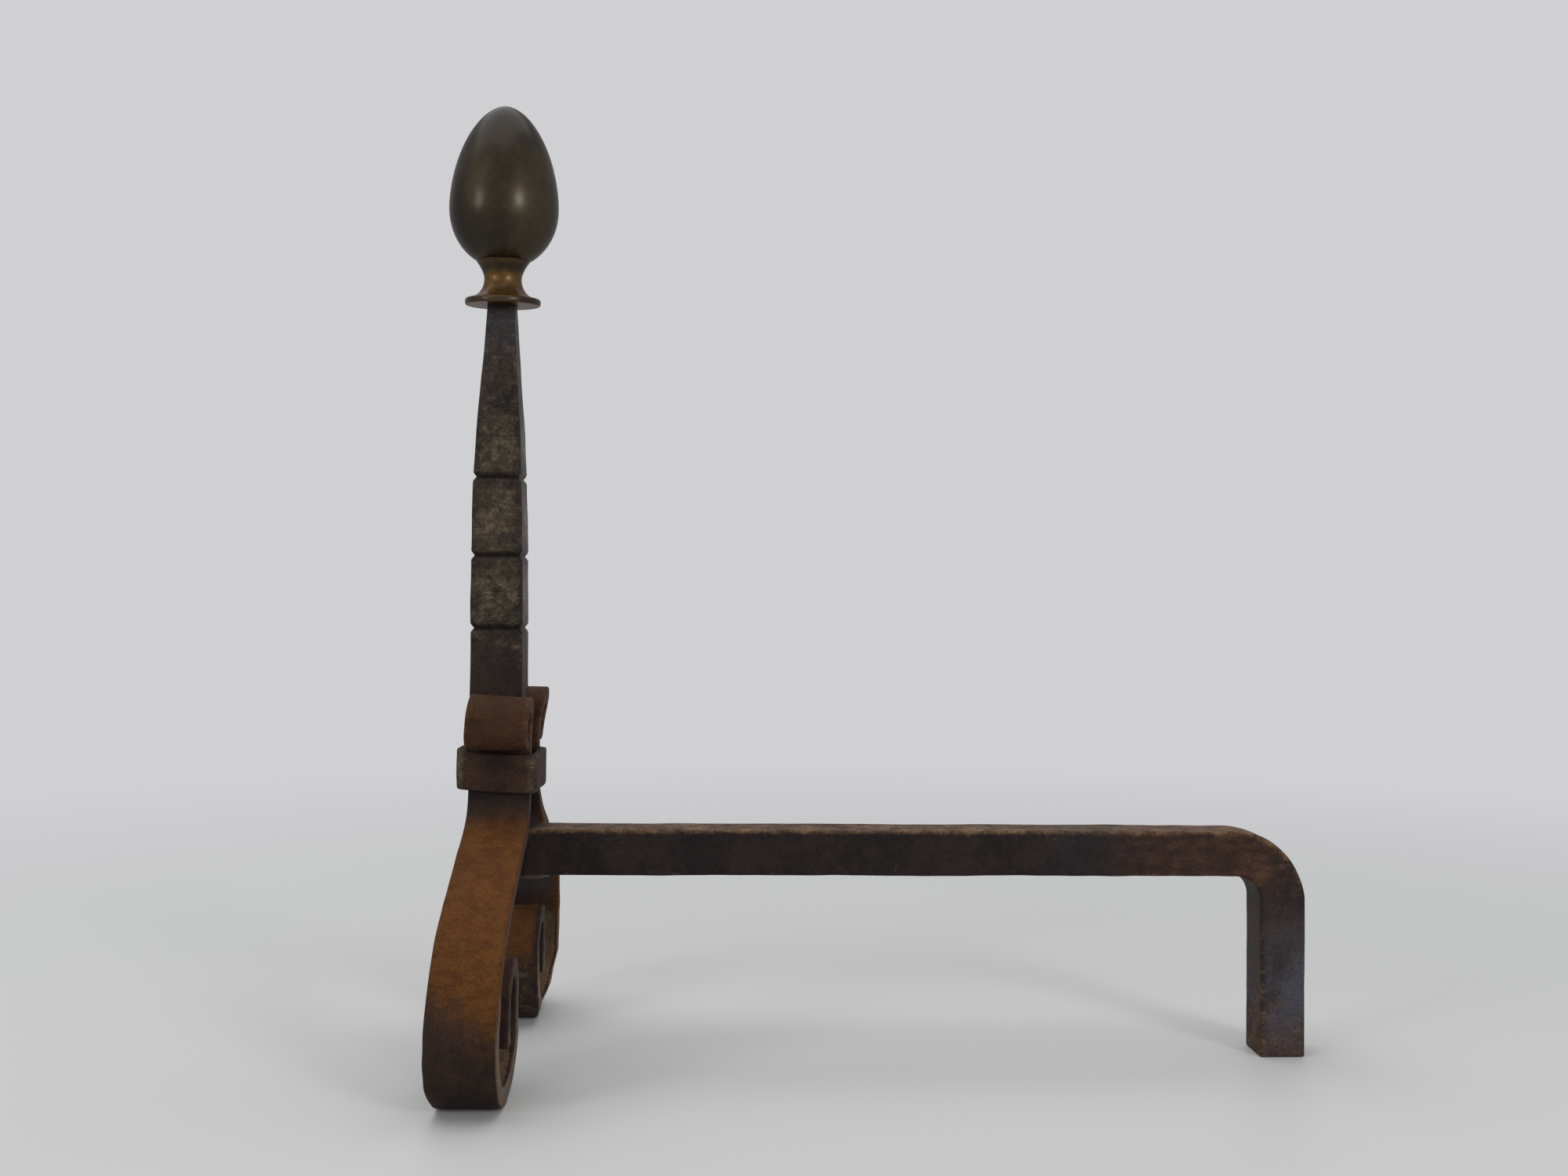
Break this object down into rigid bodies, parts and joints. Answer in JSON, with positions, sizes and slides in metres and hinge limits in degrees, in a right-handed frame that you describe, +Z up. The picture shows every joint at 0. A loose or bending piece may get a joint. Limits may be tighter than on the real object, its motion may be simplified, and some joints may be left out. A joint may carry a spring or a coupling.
{
  "type": "andiron",
  "caption": "Forged iron andiron: tapered square upright with an egg finial, two scrolled feet held by a collar, and a square billet bar bent down into a rear leg.",
  "frame": {"origin": "on the floor, under the middle of the bounding box", "axes": "+Z up; the front of the andiron faces -Y; the billet bar runs along +Y; the scroll feet spread to +X and -X"},
  "size_m": [0.196, 0.3856, 0.423],
  "materials": {
    "dark_iron": "forged wrought iron, dark brown-black, worn paler on the blocks and corners",
    "rusty_iron": "forged wrought iron with a thin orange-brown bloom of rust",
    "scaled_iron": "forged wrought iron with blue-black fire scale, browner at the ends",
    "aged_brass": "turned brass with a dark olive-brown patina, more golden on the neck",
    "hidden_steel": "plain round iron, out of sight"
  },
  "bodies": {
    "root": {"upright": "dark_iron", "scroll_leg_right": "rusty_iron", "scroll_leg_left": "rusty_iron", "collar": "dark_iron", "billet_bar": "scaled_iron", "billet_weld": "scaled_iron", "finial_pedestal": "aged_brass", "finial_egg": "aged_brass", "finial_stud": "hidden_steel", "bundle_rivet": "hidden_steel"}
  },
  "joints": []
}
